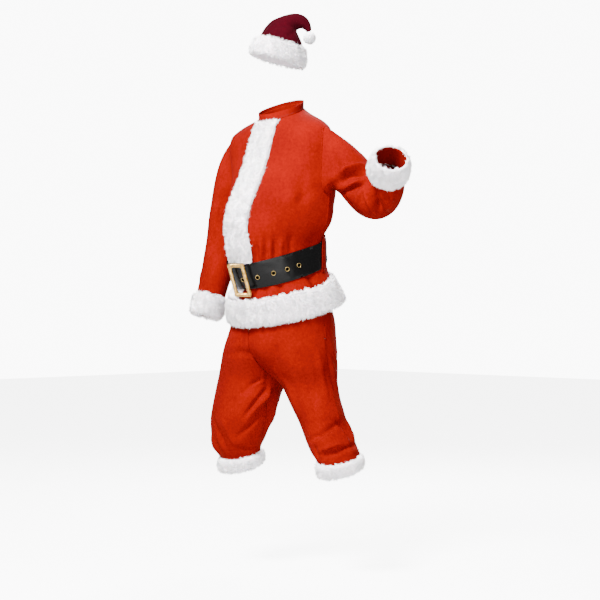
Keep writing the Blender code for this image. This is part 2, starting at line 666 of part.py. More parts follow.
def make_belt_loop(side):
    """A strip of the jacket's cloth over the belt, sewn down just above and below it."""
    turn = side * math.radians(BELT_LOOP_TURN)
    spiral = turn if turn < BELT_START else turn - 2 * math.pi
    over = belt_out(spiral) / MM + BELT_THICK + BELT_OVER_BELT
    profile = [(-0.24, 1.2), (-0.1, 1.4), (-0.03, over), (0.25, over), (0.5, over),
               (0.75, over), (1.03, over), (1.1, 1.4), (1.24, 1.2)]
    loops = []
    for share, out in profile:
        half = BELT_LOOP_HALF / JACKET[BELT_TOP].width
        loops.append([lifted_belt(turn + step * half, share, (out + rise) * MM)
                      for step, rise in ((-1, 0), (0, 0), (1, 0), (1, 1.6), (0, 1.6), (-1, 1.6))])
    bar("belt_loop_left" if side == LEFT else "belt_loop_right", loops, ring=False, colour=RED,
        roughness=0.9)


def lifted_belt(turn, share, out):
    """A point off the jacket, measured down the belt's height and a little beyond it."""
    if 0 <= share <= 1:
        return belt_point(turn, share, out)
    beside_belt = -0.05 < share < 1.05
    return lifted(smooth_jacket if beside_belt else jacket, turn, BELT_TOP + share, out)


# Trousers and hat

def rise_point(place, front):
    """Where both legs meet on the centre plane, above the crotch."""
    cuts = []
    for side in (LEFT, RIGHT):
        turn = -leg_inner_turn(side, place)
        cuts.append(leg(side, turn if front else math.pi - turn, place))
    return (cuts[0] + cuts[1]) / 2


def trouser_panel(side, front):
    """The outer and the inner side of a leg's front or back, down to its fur band."""
    columns = 8
    outer, inner_side = [], []
    above = [LEG_TOP + (CROTCH - LEG_TOP) * count / ROWS_ABOVE_CROTCH
             for count in range(ROWS_ABOVE_CROTCH)]
    below = [CROTCH + (LEG_CLOTH_TO - CROTCH) * count / ROWS_BELOW_CROTCH
             for count in range(ROWS_BELOW_CROTCH + 1)]

    def surface(turn, place):
        return leg(side, turn, place)
    for place in above + below:
        inner = leg_inner_turn(side, place)
        seam = QUARTER - SEAM / 2 / (along(LEG_ROWS[side], place).width * MM)
        for out, grid in ((0, outer), (-WALL, inner_side)):
            line = []
            for column in range(columns + 1):
                turn = -inner + (seam + inner) * column / columns
                line.append(lifted(surface, turn if front else math.pi - turn, place, out))
            if out == 0:
                pull = (rise_point(place, front) - line[0]) * ease(CROTCH + 1 - place)
            grid.append([point + pull * (1 - column / columns) ** 2 for column, point in enumerate(line)])
    return outer, inner_side


def make_leg(side):
    name = "trouser_left" if side == LEFT else "trouser_right"
    for front in (True, False):
        outer, inner = trouser_panel(side, front)
        if side == RIGHT:
            outer, inner = mirrored(outer), mirrored(inner)
        panel(f"{name}_{'front' if front else 'back'}", outer, inner)
    loops = []
    for count in range(24):
        turn = 2 * math.pi * count / 24
        def surface(share, out, turn=turn):
            place = LEG_FUR_FROM + (LEG_FUR_TO - LEG_FUR_FROM) * share
            return lifted(lambda a, b: leg(side, a, b), turn, place, out)
        loops.append(padded_loop(surface, (0, 0.33, 0.67, 1), FUR))
    if side == RIGHT:
        loops = mirrored(loops)
    bar("leg_fur_left" if side == LEFT else "leg_fur_right", loops, ring=True)


def make_waistband():
    """The elastic casing at the top of the trousers, gathered all round."""
    grid = []
    for share in (0, 0.5, 1):
        line = []
        for count in range(48):
            turn = 2 * math.pi * count / 48
            point = leg(LEFT, turn, LEG_TOP)
            gather = GATHER * math.sin(math.pi * share) * (count % 2)
            flat = Vector((point.x, point.y, 0)).normalized()
            rise = SEAM + (1 - share) * WAISTBAND_HEIGHT
            line.append(point + Vector((0, 0, rise)) + flat * gather)
        grid.append(line)
    cloth("trouser_waistband", grid, around=True)


def make_hat():
    columns, steps = 24, 12
    last = len(HAT) - 1
    first = HAT_FUR_TO + HAT_SEAM
    grid = [[hat(2 * math.pi * column / columns, first + (last - first) * row / steps)
             for column in range(columns)] for row in range(steps + 1)]
    shape = stretch(grid, True)
    shape.verts.ensure_lookup_table()
    shape.faces.new(shape.verts[-columns:])
    bmesh.ops.recalc_face_normals(shape, faces=shape.faces)
    finish("hat_crown", shape, CRIMSON, 0.9, thickness=WALL)
    loops = []
    for column in range(columns):
        turn = 2 * math.pi * column / columns
        def surface(share, out, turn=turn):
            return lifted(hat, turn, HAT_FUR_TO * (1 - share), -out)
        loops.append(padded_loop(surface, (0, 0.33, 0.67, 1), FUR))
    bar("hat_fur", loops, ring=True)


def make_pompom():
    shape = bmesh.new()
    bmesh.ops.create_icosphere(shape, subdivisions=2, radius=POMPOM_RADIUS * MM)
    tips = bmesh.ops.poke(shape, faces=shape.faces)["verts"]
    for tip in tips:
        tip.co = tip.co.normalized() * (POMPOM_RADIUS + POMPOM_LOCK) * MM
    lean, height = POMPOM_MIDDLE
    middle = Vector((1, 1, 0)).normalized() * lean + Vector((0, -HAT_FORWARD, height))
    bmesh.ops.translate(shape, verts=shape.verts, vec=middle * MM)
    finish("pompom", shape, WHITE, 0.95)


def main():
    make_fronts()
    make_back()
    make_neckband()
    for side in (LEFT, RIGHT):
        make_sleeve(side)
        make_leg(side)
        make_belt_loop(side)
    make_hem_fur()
    make_front_fur()
    make_belt()
    make_buckle()
    make_eyelets()
    make_waistband()
    make_hat()
    make_pompom()


for old in list(bpy.data.objects):
    bpy.data.objects.remove(old)
SUIT = bpy.data.collections.new("santa_suit")
bpy.context.scene.collection.children.link(SUIT)
main()
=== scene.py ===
# %% [markdown]
# A santa suit is four garments sewn from brushed polyester fleece: jacket, trousers, hat and a
# vinyl belt. Every edge carries a band of white plush. The cut and sewn pieces are already here as
# solids in their real places. This lesson dresses them: cloth with soft creases, plush with real
# strands, glossy vinyl and cast metal.

# %% Load the frame
import json
import math
from collections import namedtuple

import bpy
import numpy as np
from mathutils import Matrix, Vector, bvhtree, kdtree, noise

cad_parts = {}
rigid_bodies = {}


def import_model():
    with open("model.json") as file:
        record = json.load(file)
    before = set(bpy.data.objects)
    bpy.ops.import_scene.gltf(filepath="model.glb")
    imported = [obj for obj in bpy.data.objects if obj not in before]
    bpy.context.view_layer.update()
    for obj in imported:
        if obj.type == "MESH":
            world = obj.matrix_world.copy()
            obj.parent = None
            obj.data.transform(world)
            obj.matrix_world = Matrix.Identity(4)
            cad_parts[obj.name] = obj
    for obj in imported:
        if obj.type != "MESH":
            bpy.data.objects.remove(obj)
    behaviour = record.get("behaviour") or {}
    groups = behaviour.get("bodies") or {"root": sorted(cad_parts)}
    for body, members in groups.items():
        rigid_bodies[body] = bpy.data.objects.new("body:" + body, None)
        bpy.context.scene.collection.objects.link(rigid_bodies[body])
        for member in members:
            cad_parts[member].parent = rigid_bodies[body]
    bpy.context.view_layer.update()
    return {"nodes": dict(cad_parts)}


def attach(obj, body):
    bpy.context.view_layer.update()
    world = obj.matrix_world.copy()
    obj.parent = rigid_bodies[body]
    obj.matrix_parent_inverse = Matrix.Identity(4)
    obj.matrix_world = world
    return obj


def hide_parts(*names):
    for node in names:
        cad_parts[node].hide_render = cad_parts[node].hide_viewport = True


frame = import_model()
MM = 0.001
SEED = 24
rng = np.random.default_rng(SEED)
noise.seed_set(SEED)
print("nodes:", len(frame["nodes"]))

# %% [markdown]
# The wearer faces -Y and their left is +X. Places are written as millimetres to the left, forward
# and up from the middle of the neck, because that is how a tailor would measure the suit.


# %% Places in millimetres
def spot(left, forward, height):
    return Vector((left, -forward, height)) * MM


def spots(*places):
    return np.array([spot(*place) for place in places])


# %% [markdown]
# A material is a small network of nodes. One function adds a node, sets its options, and fills or
# links its inputs. Colours are written as screen colours, so they are turned to linear light first.

# %% Helpers for materials
def linear(code):
    """A screen colour such as "#5C0400" as linear light."""
    parts = [int(code[index:index + 2], 16) / 255 for index in (1, 3, 5)]
    return (*[part / 12.92 if part <= 0.04045 else ((part + 0.055) / 1.055) ** 2.4
              for part in parts], 1)


def add_node(tree, kind, inputs=None, **options):
    made = tree.nodes.new(kind)
    for name, value in options.items():
        setattr(made, name, value)
    for name, value in (inputs or {}).items():
        if isinstance(value, bpy.types.NodeSocket):
            tree.links.new(value, made.inputs[name])
        else:
            made.inputs[name].default_value = value
    return made


def new_material(name, **settings):
    made = bpy.data.materials.new(name)
    made.use_nodes = True
    surface = made.node_tree.nodes["Principled BSDF"]
    for key, value in settings.items():
        surface.inputs[key.replace("_", " ")].default_value = value
    print("material:", name)
    return made, made.node_tree, surface


def ranged(tree, value, low, high, **ends):
    """The value stretched so that low becomes 0 and high becomes 1, or the ends that are given."""
    inputs = {"Value": value, "From Min": low, "From Max": high}
    inputs.update({name.replace("_", " "): end for name, end in ends.items()})
    return add_node(tree, "ShaderNodeMapRange", inputs).outputs[0]


def blend_colours(tree, factor, first, second):
    mix = add_node(tree, "ShaderNodeMix", data_type="RGBA")
    tree.links.new(factor, mix.inputs[0])
    mix.inputs[6].default_value = first
    mix.inputs[7].default_value = second
    return mix.outputs[2]


def speckle(tree, size_mm, detail=3.0, roughness=0.6, stretch=(1, 1, 1)):
    """Noise whose lumps are about this many millimetres across."""
    place = add_node(tree, "ShaderNodeTexCoord").outputs["Object"]
    scaled = add_node(tree, "ShaderNodeMapping", {"Vector": place, "Scale": stretch}).outputs[0]
    settings = {"Vector": scaled, "Scale": 1000 / size_mm, "Detail": detail, "Roughness": roughness}
    return add_node(tree, "ShaderNodeTexNoise", settings).outputs["Fac"]


def raised(tree, height, depth_mm, strength, below=None):
    """A bump of this depth in millimetres, on top of the bump below it."""
    inputs = {"Height": height, "Distance": depth_mm * MM, "Strength": strength}
    if below:
        inputs["Normal"] = below
    return add_node(tree, "ShaderNodeBump", inputs).outputs["Normal"]


# %% [markdown]
# Brushed polyester fleece is knitted and then teased into a short nap. It has no gloss and its
# edges catch a little light as sheen. Its red varies softly between a lit and a shaded copy, mixed
# by slow
# noise and by the nap: partly the nap's own lie, partly painted light and shade. The nap itself is
# under a millimetre and is drawn at 1.6 mm, coarse enough to show.

# %% Fleece
def fleece(name, lit, shaded, sheen_colour):
    made, tree, surface = new_material(name, Roughness=0.95, Sheen_Weight=0.05,
                                       Sheen_Roughness=0.35, Sheen_Tint=linear(sheen_colour),
                                       Specular_IOR_Level=0.03)
    # Painted light and shade: slow noise and the nap mix a shaded red into a lit red.
    drift = speckle(tree, 120, 2.0, 0.5)
    nap_and_shade = speckle(tree, 9, 4.0, 0.65)
    both = add_node(tree, "ShaderNodeMath", {0: drift, 1: nap_and_shade}, operation="ADD").outputs[0]
    level = ranged(tree, both, 0.75, 1.25)
    tree.links.new(blend_colours(tree, level, linear(shaded), linear(lit)),
                   surface.inputs["Base Color"])
    hang = raised(tree, speckle(tree, 34, 2.0, 0.5), 2.2, 0.35)
    tree.links.new(raised(tree, speckle(tree, 1.6, 2.0, 0.7), 0.5, 0.35, hang),
                   surface.inputs["Normal"])
    return made


# Each fleece gets a painted lit red, a painted shaded red and its sheen tint.
red_fleece = fleece("red_brushed_fleece", "#5C0400", "#4B0200", "#A02010")
crimson_fleece = fleece("crimson_brushed_fleece", "#260005", "#1E0004", "#701828")

# %% [markdown]
# Plush is a long soft pile. Light passes into it and comes out again, so it never looks like
# plaster. The shade deep in the pile is painted: every strand carries a number from root to tip,
# grey at the root and white at the tip, and the backing, which has no such number, is painted all
# in that grey of painted shade.


# %% Plush
# The depth colour is painted shade: the grey of the gaps deep between the strands.
def plush(name, tip, depth):
    made, tree, surface = new_material(name, Roughness=1.0, Subsurface_Weight=0.1,
                                       Subsurface_Scale=0.006, Specular_IOR_Level=0.05)
    shade_to_tip = add_node(tree, "ShaderNodeAttribute", attribute_name="pile").outputs["Fac"]
    drift = ranged(tree, speckle(tree, 45, 3.0, 0.6), 0.25, 0.6, To_Min=0.72)
    level = add_node(tree, "ShaderNodeMath", {0: shade_to_tip, 1: drift}, operation="MULTIPLY").outputs[0]
    tree.links.new(blend_colours(tree, level, linear(depth), linear(tip)),
                   surface.inputs["Base Color"])
    return made


white_plush = plush("white_plush_pile", "#FFFEFE", "#D6CCD1")

# %% [markdown]
# The belt is imitation leather: black PVC on cloth, calendered smooth, so it has a clear gloss that
# breaks up in soft wrinkles. The buckle is a zinc casting plated pale gold, and the eyelets are
# pressed brass with an antique finish.

# %% Vinyl
black_vinyl, tree, surface = new_material("black_vinyl", Base_Color=linear("#040404"),
                                          Roughness=0.26, Specular_IOR_Level=0.09)
wrinkle = raised(tree, speckle(tree, 26, 2.0, 0.5, (1, 1, 0.7)), 1.2, 0.3)
tree.links.new(raised(tree, speckle(tree, 1.4, 2.0, 0.5), 0.12, 0.3, wrinkle),
               surface.inputs["Normal"])


# %% Plated metals
def plated(name, roughness, patch_mm, detail, worn, bright):
    """Metal plating that is duller in worn patches of this size."""
    made, tree, surface = new_material(name, Metallic=1.0, Roughness=roughness)
    wear = ranged(tree, speckle(tree, patch_mm, detail, 0.6), 0.35, 0.65)
    tree.links.new(blend_colours(tree, wear, linear(worn), linear(bright)),
                   surface.inputs["Base Color"])
    return made, tree, surface


antique_brass, _, _ = plated("antique_brass_plate", 0.34, 3, 2.0, "#54421F", "#A08A58")
pale_gold, tree, surface = plated("pale_gold_plate", 0.3, 7, 3.0, "#7E5A22", "#CDA65E")
tree.links.new(raised(tree, speckle(tree, 2.5, 2.0, 0.5), 0.25, 0.4), surface.inputs["Normal"])

# %% [markdown]
# Each cut piece is a thin wall. A copy of its solid is merged and turned back to quads, its cut
# edges are kept sharp, and a subdivision surface rounds the rest. Where two pieces are sewn
# together the cloth dips towards the seam, so a narrow border is inset and its edge pressed in.

# %% A record of a cut, and finishing a piece
Cut = namedtuple("Cut", "width length area held rests_on")


def finish_piece(made, material):
    """Give a piece its material and smooth shading, and say what it rides on."""
    made.data.materials.append(material)
    made.data.shade_smooth()
    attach(made, "root")
    print(made.name, "faces:", len(made.data.polygons))


# %% Copies and modifiers
def choose(made):
    """Select this piece alone and make it the active one."""
    bpy.ops.object.select_all(action="DESELECT")
    bpy.context.view_layer.objects.active = made
    made.select_set(True)


def take_copy(node, name):
    """A copy of a solid, its loose triangles merged and turned back to quads."""
    made = bpy.data.objects.new(name, frame["nodes"][node].data.copy())
    bpy.context.scene.collection.objects.link(made)
    choose(made)
    made.data.materials.clear()
    bpy.ops.object.mode_set(mode="EDIT")
    bpy.ops.mesh.select_all(action="SELECT")
    bpy.ops.mesh.remove_doubles(threshold=0.00002)
    bpy.ops.mesh.tris_convert_to_quads(face_threshold=math.radians(60),
                                       shape_threshold=math.radians(60))
    bpy.ops.object.mode_set(mode="OBJECT")
    return made


def apply(made, kind, **options):
    """Add a modifier and apply it."""
    choose(made)
    step = made.modifiers.new(kind.title(), kind)
    for name, value in options.items():
        setattr(step, name, value)
    bpy.ops.object.modifier_apply(modifier=step.name)


def choose_none(kind):
    """Deselect all, so that faces or edges can be selected one by one."""
    bpy.ops.object.mode_set(mode="EDIT")
    bpy.ops.mesh.select_mode(type=kind)
    bpy.ops.mesh.select_all(action="DESELECT")
    bpy.ops.object.mode_set(mode="OBJECT")


def cut_across(made, axis, cuts):
    """Subdivide the long edges that run along this axis."""
    half_long = np.ptp(places(made)[:, axis]) / 2
    choose_none("EDGE")
    for edge in made.data.edges:
        first, second = (made.data.vertices[point].co for point in edge.vertices)
        edge.select = abs(first[axis] - second[axis]) > half_long
    bpy.ops.object.mode_set(mode="EDIT")
    bpy.ops.mesh.subdivide(number_cuts=cuts)
    bpy.ops.object.mode_set(mode="OBJECT")


def new_piece(name, points, faces):
    """A piece made of these points and faces."""
    mesh = bpy.data.meshes.new(name)
    mesh.from_pydata(points.tolist(), [], faces)
    made = bpy.data.objects.new(name, mesh)
    bpy.context.scene.collection.objects.link(made)
    return made


# %% Points of a piece
def places(made):
    flat = np.empty(len(made.data.vertices) * 3)
    made.data.vertices.foreach_get("co", flat)
    return flat.reshape(-1, 3)


def normals(made):
    flat = np.empty(len(made.data.vertices) * 3)
    made.data.vertices.foreach_get("normal", flat)
    return flat.reshape(-1, 3)


def put_places(made, points):
    made.data.vertices.foreach_set("co", points.ravel())
    made.data.update()


def nearest_on_path(points, path, even=15 * MM):
    """For each point: the near place on a line of points, its distance, and how far along it lies.

    Stretches that are nearly as close count too, so nothing jumps where the line bends."""
    heres, fars, alongs = [], [], []
    for index, (start, end) in enumerate(zip(path, path[1:])):
        run = end - start
        share = np.clip(((points - start) @ run) / (run @ run), 0, 1)
        heres.append(start + share[:, None] * run)
        fars.append(np.linalg.norm(points - heres[-1], axis=1))
        alongs.append((index + share) / (len(path) - 1))
    best = np.min(fars, axis=0)
    pull = np.exp((best - np.array(fars)) / even)
    pull /= pull.sum(axis=0)
    near = (pull[:, :, None] * np.array(heres)).sum(axis=0)
    return near, best, (pull * np.array(alongs)).sum(axis=0)


def way_out(points, bone):
    """The way from the bone out to each point."""
    near, _, _ = nearest_on_path(points, bone)
    outward = points - near
    return outward / np.linalg.norm(outward, axis=1)[:, None]


def lumps_at(points, size, stretch=(1, 1, 1)):
    """Slow noise at each point, with lumps about this many millimetres across."""
    return np.array([noise.noise(Vector(point * stretch) / (size * MM)) for point in points])


# %% Seams
CUT_EDGE_DEGREES, BAND_EDGE_DEGREES = 48, 60
SEAM_BORDER, SEAM_DIP, SEAM_REACH = 4 * MM, 0.4 * MM, 0.4 * MM
OUTER_SIDE, CUT_SIDE = 0.25, 0.5


def sharp_edges(made, angle):
    """Crease every edge where the cloth turns round its cut edge."""
    bpy.context.view_layer.objects.active = made
    bpy.ops.object.mode_set(mode="EDIT")
    bpy.ops.mesh.select_mode(type="EDGE")
    bpy.ops.mesh.select_all(action="DESELECT")
    bpy.ops.mesh.edges_select_sharp(sharpness=math.radians(angle))
    bpy.ops.object.mode_set(mode="OBJECT")
    crease = made.data.attributes.new("crease_edge", "FLOAT", "EDGE")
    for edge in made.data.edges:
        if edge.select:
            crease.data[edge.index].value = 1.0


def dip_at_seams(made, bone):
    """Inset the outer side's border, press its edge in and let the cut edge reach its neighbour."""
    near, _, _ = nearest_on_path(places(made), bone)
    outward = places(made) - near
    rim = {edge for edge in range(len(made.data.edges))
           if made.data.attributes["crease_edge"].data[edge].value > 0}
    edge_of = {tuple(sorted(edge.vertices)): edge.index for edge in made.data.edges}
    rim_points = {point for edge in rim for point in made.data.edges[edge].vertices}
    outer = []
    reach = np.zeros_like(outward)
    for face in made.data.polygons:
        middle = sum((Vector(outward[point]) for point in face.vertices), Vector())
        turned = sum(edge_of[tuple(sorted(key))] in rim for key in face.edge_keys)
        facing_out = face.normal.dot(middle.normalized())
        if facing_out > OUTER_SIDE and turned < 3:
            outer.append(face.index)
        elif turned > 1 and abs(facing_out) < CUT_SIDE:
            reach[list(face.vertices)] += face.normal
    dips = {point for face in outer for point in made.data.polygons[face].vertices
            if point in rim_points}
    for part in (*made.data.edges, *made.data.vertices, *made.data.polygons):
        part.select = False
    for face in outer:
        made.data.polygons[face].select = True
    bpy.ops.object.mode_set(mode="EDIT")
    bpy.ops.mesh.select_mode(type="FACE")
    bpy.ops.mesh.inset(thickness=SEAM_BORDER, depth=0.0, use_even_offset=False)
    bpy.ops.object.mode_set(mode="OBJECT")
    points = places(made)
    for point in dips:
        points[point] -= outward[point] / np.linalg.norm(outward[point]) * SEAM_DIP
    far = np.linalg.norm(reach, axis=1)
    cut_edge = np.flatnonzero(far > 0.1)
    points[cut_edge] += reach[cut_edge] / far[cut_edge, None] * SEAM_REACH
    put_places(made, points)


# %% Creases
CREASE_SHARE, CREASE_END, END_SHARE = 1.35, 0.3, 0.25


def tree_of(node):
    mesh = frame["nodes"][node].data
    return bvhtree.BVHTree.FromPolygons([point.co[:] for point in mesh.vertices],
                                        [tuple(face.vertices) for face in mesh.polygons])


def laid_on(nodes, line):
    """A line of places, with points between them, moved onto the nearest of these solids."""
    path = spots(*line)
    shares = np.linspace(0, len(path) - 1, 4 * len(path) - 3)
    path = np.stack([np.interp(shares, range(len(path)), path[:, axis]) for axis in range(3)],
                    axis=1)
    trees = [tree_of(node) for node in nodes]
    laid = []
    for point in path:
        found = [tree.find_nearest(Vector(point)) for tree in trees]
        laid.append(min(found, key=lambda near: near[3])[0])
    return np.array(laid)


def press_creases(made, bone, creases, nodes):
    """Move the cloth away from its bone at ridges and towards it at troughs."""
    points = places(made)
    lines = [laid_on(nodes, line) for _, _, *line in creases]
    rise = np.zeros(len(points))
    for (depth, half, *_), path in zip(creases, lines):
        _, far, along = nearest_on_path(points, path, 4 * MM)
        taper = np.clip(np.minimum(along, 1 - along) / CREASE_END, 0, 1)
        share = CREASE_SHARE * (END_SHARE + (1 - END_SHARE) * taper)
        rise += depth * share * np.exp(-(far / (half * MM)) ** 2)
    put_places(made, points + way_out(points, bone) * rise[:, None] * MM)


def rumple(made, bone, height, size):
    """Uneven hang of the cloth: slow lumps of this height and size."""
    points = places(made)
    lumps = lumps_at(points, size) * height * MM
    put_places(made, points + way_out(points, bone) * lumps[:, None])


# %% Cloth from a cut piece
dressed = {}


def cloth(node, bone, creases=(), levels=2, material=red_fleece, lumps=1.2, lump_size=70,
          sewn_with=None):
    """Dress one cut piece. Pieces that are sewn together share the lines of their creases."""
    made = take_copy(node, node + "_cloth")
    sharp_edges(made, CUT_EDGE_DEGREES)
    dip_at_seams(made, bone)
    apply(made, "SUBSURF", levels=levels, render_levels=levels)
    press_creases(made, bone, creases, sewn_with or [node])
    rumple(made, bone, lumps, lump_size)
    finish_piece(made, material)
    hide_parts(node)
    dressed[node] = made
    return made


# %% [markdown]
# The bones are plain lines inside the sleeves, legs and body. A crease is pressed towards or away
# from the bone, so both sides of the cloth move together and its wall keeps its thickness. Each row
# of the tables below is one crease: its depth in millimetres, less than nought where it is pressed
# in, half its width, and the places that it runs through.

# %% Bones
TORSO = spots((0, 5, 120), (0, 0, -300), (0, 0, -800))
ARM_RIGHT = spots((-190, 10, -110), (-250, 18, -325), (-257, 40, -440), (-266, 70, -550),
                  (-276, 104, -680))
ARM_LEFT = spots((175, 0, -90), (260, -45, -200), (330, -75, -262), (375, -70, -255),
                 (480, 8, -151), (520, 40, -110))
LEG_RIGHT = spots((-60, 10, -400), (-90, 15, -760), (-138, 34, -920), (-174, 35, -1040),
                  (-183, 22, -1200))
LEG_LEFT = spots((60, 0, -400), (70, -10, -760), (110, -36, -920), (168, -50, -1050),
                 (207, -61, -1200))
HAT_BONE = spots((0, 14, 150), (-6, 8, 280), (25, -15, 312), (60, -48, 300))
print("left arm's bone:", round(np.linalg.norm(np.diff(ARM_LEFT, axis=0), axis=1).sum(), 3), "m")

# %% [markdown]
# The jacket is cut as two fronts and a back. Where the belt pulls it in, it gathers in uneven soft
# folds that fade upwards over the belly, and flares in a few pleats below the belt.

# %% Jacket
JACKET_CREASES = [
    (-6, 9, (71, 192, -415), (66, 185, -440), (62, 183, -478)),
    (4, 8, (84, 182, -405), (80, 178, -470)),
    (-5, 9, (94, 172, -380), (92, 166, -475)),
    (4, 8, (103, 160, -412), (103, 155, -470)),
    (-6, 9, (112, 150, -395), (110, 142, -468)),
    (4, 8, (124, 128, -400), (122, 124, -462)),
    (-5, 9, (139, 104, -385), (133, 92, -450)),
    (-4, 14, (-60, 205, -330), (-70, 190, -430)),
    (-7, 9, (108, 119, -545), (114, 122, -560), (120, 126, -580)),
    (4, 8, (92, 140, -550), (98, 146, -585)),
    (-8, 7, (38, 165, -566), (40, 172, -580), (42, 178, -600)),
    (4, 7, (50, 162, -564), (56, 170, -596)),
    (-5, 9, (70, 150, -560), (76, 158, -590)),
    (-5, 10, (148, 31, -515), (179, 10, -560)),
    (4, 10, (160, 50, -520), (186, 30, -570)),
    (-4, 18, (150, 60, -180), (165, 70, -290)),
    (3, 18, (130, 110, -190), (150, 100, -300)),
    (-2.5, 18, (176, 20, -230), (168, 70, -262), (150, 110, -300)),
    (-5, 12, (60, -118, -330), (50, -112, -400)),
    (4, 11, (40, -120, -330), (35, -116, -395)),
    (-5, 12, (20, -122, -310), (18, -118, -395)),
    (-5, 12, (-45, -120, -330), (-40, -114, -400)),
    (4, 11, (-70, -115, -320), (-62, -108, -395)),
    (-5, 12, (-100, -100, -320), (-90, -96, -400)),
    (-5, 12, (105, -98, -300), (95, -94, -400)),
    (-5, 14, (150, -70, -230), (100, -110, -270), (40, -125, -290)),
    (-5, 14, (-150, -70, -240), (-95, -110, -285), (-40, -125, -300)),
    (-5, 12, (40, -135, -470), (55, -160, -530)),
    (-5, 12, (-50, -135, -470), (-70, -158, -530)),
    (-5, 12, (-5, -140, -470), (-8, -168, -530)),
    (-5, 12, (105, -110, -470), (125, -130, -530)),
    (-5, 12, (-150, 40, -480), (-175, 30, -540)),
]
JACKET_PANELS = {"jacket_front_left": 3, "jacket_front_right": 2, "jacket_back": 2}
for node, levels in JACKET_PANELS.items():
    cloth(node, TORSO, JACKET_CREASES, levels, sewn_with=list(JACKET_PANELS))
cloth("neckband", TORSO, lumps=0.6, lump_size=30)

# %% [markdown]
# Inside the neck a tape covers the seam between band and jacket, so that it doesn't rub. It is a
# copy of the band, drawn in and moved down over the seam.

# %% Neck tape
TAPE_IN, TAPE_DOWN = 2.7 * MM, 11 * MM
tape = take_copy("neckband", "neck_tape")
sharp_edges(tape, CUT_EDGE_DEGREES)
apply(tape, "SUBSURF", levels=2, render_levels=2)
points = places(tape)
from_neck = points * (1, 1, 0) / np.linalg.norm(points[:, :2], axis=1)[:, None]
put_places(tape, points - from_neck * TAPE_IN - np.array((0, 0, TAPE_DOWN)))
finish_piece(tape, red_fleece)

# %% [markdown]
# The raised arm bends sharply, so the cloth piles up in the crook of the elbow and fans out from
# there. The hanging sleeve has only long lines from the shoulder to the cuff.

# %% Sleeves
LEFT_CREASES = [
    (-17, 15, (346, -37, -183), (327, -13, -188), (304, 6, -197), (272, 11, -225)),
    (7, 9, (337, -45, -162), (321, -15, -162), (298, 8, -168), (274, 21, -190)),
    (6, 8, (360, -19, -205), (323, -8, -217), (287, 1, -231)),
    (-12, 10, (363, -12, -219), (329, -6, -233), (293, -2, -248), (236, -24, -251)),
    (7, 9, (364, -6, -235), (344, 1, -266), (320, -15, -300)),
    (8, 9, (370, 2, -232), (378, 0, -258), (382, -14, -288), (378, -40, -314)),
    (-22, 14, (380, 6, -205), (392, 0, -230), (402, -5, -258), (407, -20, -285), (402, -50, -315),
     (396, -75, -325)),
    (8, 10, (395, -62, -323), (426, -51, -299), (453, -35, -276), (465, -27, -258)),
    (-7, 8, (446, -6, -255), (440, -41, -288), (417, -62, -311)),
    (-6, 12, (249, 13, -110), (271, 17, -160), (268, 18, -209), (232, -10, -238)),
    (-4, 12, (250, 2, -262), (285, -14, -290), (318, -34, -318)),
    (-6, 12, (220, -100, -140), (280, -135, -200), (330, -150, -250)),
    (5, 12, (240, -80, -110), (300, -120, -160), (350, -140, -220)),
    (-6, 10, (330, -140, -210), (368, -110, -180), (400, -80, -160)),
    (5, 9, (350, -150, -230), (392, -120, -200), (425, -85, -172)),
]
RIGHT_CREASES = [
    (-3, 9, (-238, 101, -455), (-250, 108, -500), (-262, 116, -540)),
    (3, 9, (-262, 70, -270), (-262, 92, -380), (-265, 106, -459)),
    (-3, 10, (-225, 60, -240), (-232, 82, -330), (-240, 98, -430)),
    (2.5, 10, (-212, 58, -250), (-222, 84, -350), (-232, 96, -420)),
    (-3, 12, (-285, 100, -530), (-262, 118, -560), (-235, 120, -585)),
    (2.5, 12, (-300, 92, -500), (-280, 116, -545)),
    (-2.5, 14, (-300, 20, -240), (-308, 30, -400), (-305, 60, -520)),
    (-2.5, 14, (-240, -40, -250), (-250, -20, -400), (-258, 10, -520)),
]
cloth("sleeve_left", ARM_LEFT, LEFT_CREASES, 3)
cloth("sleeve_right", ARM_RIGHT, RIGHT_CREASES, 2)

# %% [markdown]
# Baggy trousers gathered below the knee: the cloth blouses over the fur band, drags in slanting
# lines from the crotch to the outside of the bent leg, and pleats where the band draws it in.

